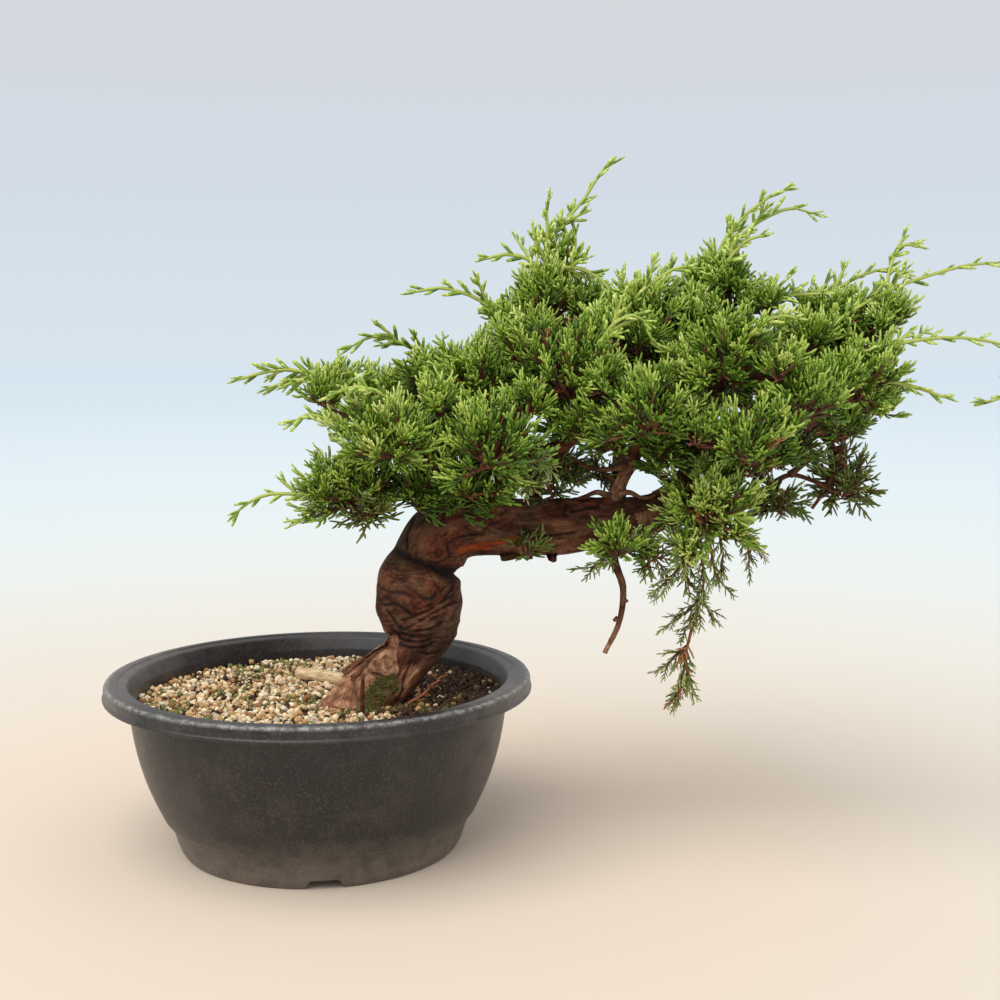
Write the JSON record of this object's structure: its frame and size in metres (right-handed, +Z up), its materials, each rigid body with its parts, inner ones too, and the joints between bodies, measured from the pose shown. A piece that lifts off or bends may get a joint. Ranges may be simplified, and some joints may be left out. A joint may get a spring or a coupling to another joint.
{
  "type": "itoigawa chinese juniper bonsai in a round training pot",
  "caption": "Juniper bonsai: a trunk that rises from a round pot, swells, bends over and runs level to dense masses of soft scale foliage with long shoots.",
  "frame": {"origin": "centre of the flat pad in the middle of the pot's underside, on the surface that the pot stands on", "axes": "+Z up; +X to the right seen from the front, the way the level trunk runs; +Y away from the front"},
  "size_m": [0.5074, 0.24, 0.3839],
  "materials": {
    "pot": "matte dark grey moulded plastic, scuffed pale on the rim and dusty near the foot",
    "soil": "cream, tan and brown mineral grains of 3 to 5 mm, stained green in places",
    "bark": "red-brown and grey flaking bark with wrinkles and dark cracks",
    "deadwood": "pale peeled wood",
    "foliage": "bright green scale foliage with yellow-green tips"
  },
  "bodies": {
    "root": {"pot": "pot", "soil": "soil", "trunk": "bark", "leader": "bark", "bough_left_low": "bark", "bough_left_front": "bark", "bough_left_back": "bark", "bough_left_rear": "bark", "bough_shoulder": "bark", "bough_centre_low": "bark", "bough_centre": "bark", "bough_apex": "bark", "bough_rear": "bark", "bough_centre_right": "bark", "bough_middle_low": "bark", "bough_rear_right": "bark", "bough_low_front": "bark", "bough_right_apex": "bark", "bough_right_mid": "bark", "bough_right": "bark", "bough_right_upper": "bark", "bough_right_shade": "bark", "bough_right_low": "bark", "bough_right_front": "bark", "bough_right_rear": "bark", "bough_far_rear": "bark", "bough_low_right": "bark", "bough_hanging": "bark", "dead_twig": "bark", "root_stub": "deadwood", "foliage_left_low": "foliage", "foliage_left_front": "foliage", "foliage_left_back": "foliage", "foliage_left_rear": "foliage", "foliage_shoulder": "foliage", "foliage_centre_low": "foliage", "foliage_apex": "foliage", "foliage_centre": "foliage", "foliage_rear": "foliage", "foliage_centre_right": "foliage", "foliage_middle_low": "foliage", "foliage_rear_right": "foliage", "foliage_right_apex": "foliage", "foliage_right_mid": "foliage", "foliage_right_upper": "foliage", "foliage_right_end": "foliage", "foliage_right_front": "foliage", "foliage_right_shade": "foliage", "foliage_right_low": "foliage", "foliage_right_rear": "foliage", "foliage_far_rear": "foliage", "foliage_low_front": "foliage", "foliage_low_right": "foliage", "foliage_hanging": "foliage", "foliage_trunk_front": "foliage", "foliage_trunk_twig": "foliage"}
  },
  "joints": []
}
